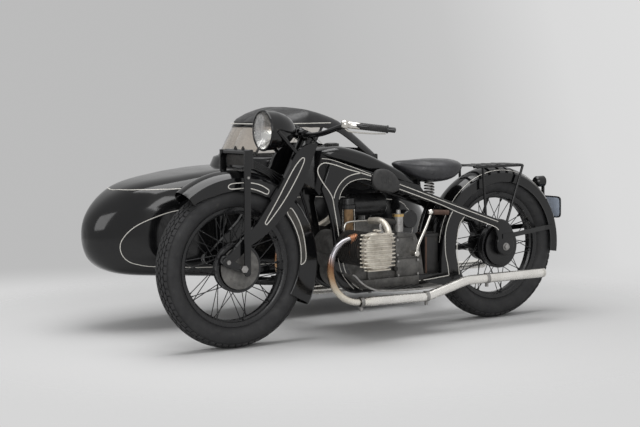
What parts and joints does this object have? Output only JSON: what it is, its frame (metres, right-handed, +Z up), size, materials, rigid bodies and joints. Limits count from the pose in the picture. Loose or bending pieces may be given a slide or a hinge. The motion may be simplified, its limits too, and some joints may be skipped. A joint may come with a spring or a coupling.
{
  "type": "sidecar motorcycle",
  "caption": "Vintage shaft-driven flat-twin motorcycle with a pressed-steel frame and leaf-sprung fork, carrying a boat-shaped passenger sidecar with screen and folding hood on its right.",
  "frame": {"origin": "on the ground below the middle of the outfit's bounding box", "axes": "+X forward, +Y to the rider's left (the sidecar is on -Y), +Z up"},
  "size_m": [2.127, 1.6567, 1.0043],
  "materials": {
    "tyre": "matt black tyre rubber",
    "black_paint": "gloss black enamel with fine pale lines",
    "cast_alloy": "cast, weathered",
    "bright_metal": "nickel plated",
    "plain_metal": "satin",
    "rubber": "matt, ribbed",
    "black_plastic": "matt moulded case",
    "leather": "black, lightly grained",
    "hood_fabric": "black coated cloth",
    "clear_glass": "clear, polished",
    "red_glass": "red lens",
    "plate_paint": "blank pale plate"
  },
  "bodies": {
    "machine": {"battery": "black_plastic", "carburettors": "plain_metal", "crankcase": "cast_alloy", "cylinder_left": "cast_alloy", "cylinder_right": "cast_alloy", "exhaust_left": "bright_metal", "exhaust_right": "bright_metal", "final_drive": "black_paint", "footboards": "plain_metal", "frame_left": "black_paint", "frame_right": "black_paint", "fuel_tank": "black_paint", "gearbox": "cast_alloy", "hood": "hood_fabric", "kick_starter": "plain_metal", "knee_pads": "rubber", "luggage_rack": "black_paint", "mudguard_stays": "black_paint", "number_plate": "plate_paint", "rear_mudguard": "black_paint", "saddle": "leather", "saddle_springs": "black_paint", "sidecar_backrest": "leather", "sidecar_body": "black_paint", "sidecar_chassis": "black_paint", "sidecar_cushion": "leather", "sidecar_mudguard": "black_paint", "steering_head": "black_paint", "tail_lamp": "red_glass", "windscreen_frame": "bright_metal", "windscreen_glass": "clear_glass"},
    "steered fork": {"fork": "black_paint", "fork_links": "black_paint", "leaf_spring": "black_paint", "front_mudguard": "black_paint", "headlamp": "black_paint", "headlamp_lens": "clear_glass", "handlebar": "bright_metal", "grips": "rubber"},
    "front road wheel": {"front_tyre": "tyre", "front_wheel": "black_paint"},
    "rear road wheel": {"rear_tyre": "tyre", "rear_wheel": "black_paint"},
    "sidecar road wheel": {"sidecar_tyre": "tyre", "sidecar_wheel": "black_paint"}
  },
  "joints": [
    {"name": "steering", "type": "hinge", "parent": "machine", "child": "steered fork", "pos_m": [0.3335, 0.42163, 0.85], "axis": [-0.454, 0, 0.891], "range_deg": [-28, 28]},
    {"name": "front_wheel_turn", "type": "hinge", "parent": "steered fork", "child": "front road wheel", "pos_m": [0.6935, 0.42163, 0.34], "axis": [0, 1, 0], "continuous": true},
    {"name": "rear_wheel_turn", "type": "hinge", "parent": "machine", "child": "rear road wheel", "pos_m": [-0.6865, 0.42163, 0.34], "axis": [0, 1, 0], "continuous": true},
    {"name": "sidecar_wheel_turn", "type": "hinge", "parent": "machine", "child": "sidecar road wheel", "pos_m": [-0.5365, -0.75837, 0.34], "axis": [0, 1, 0], "continuous": true}
  ]
}
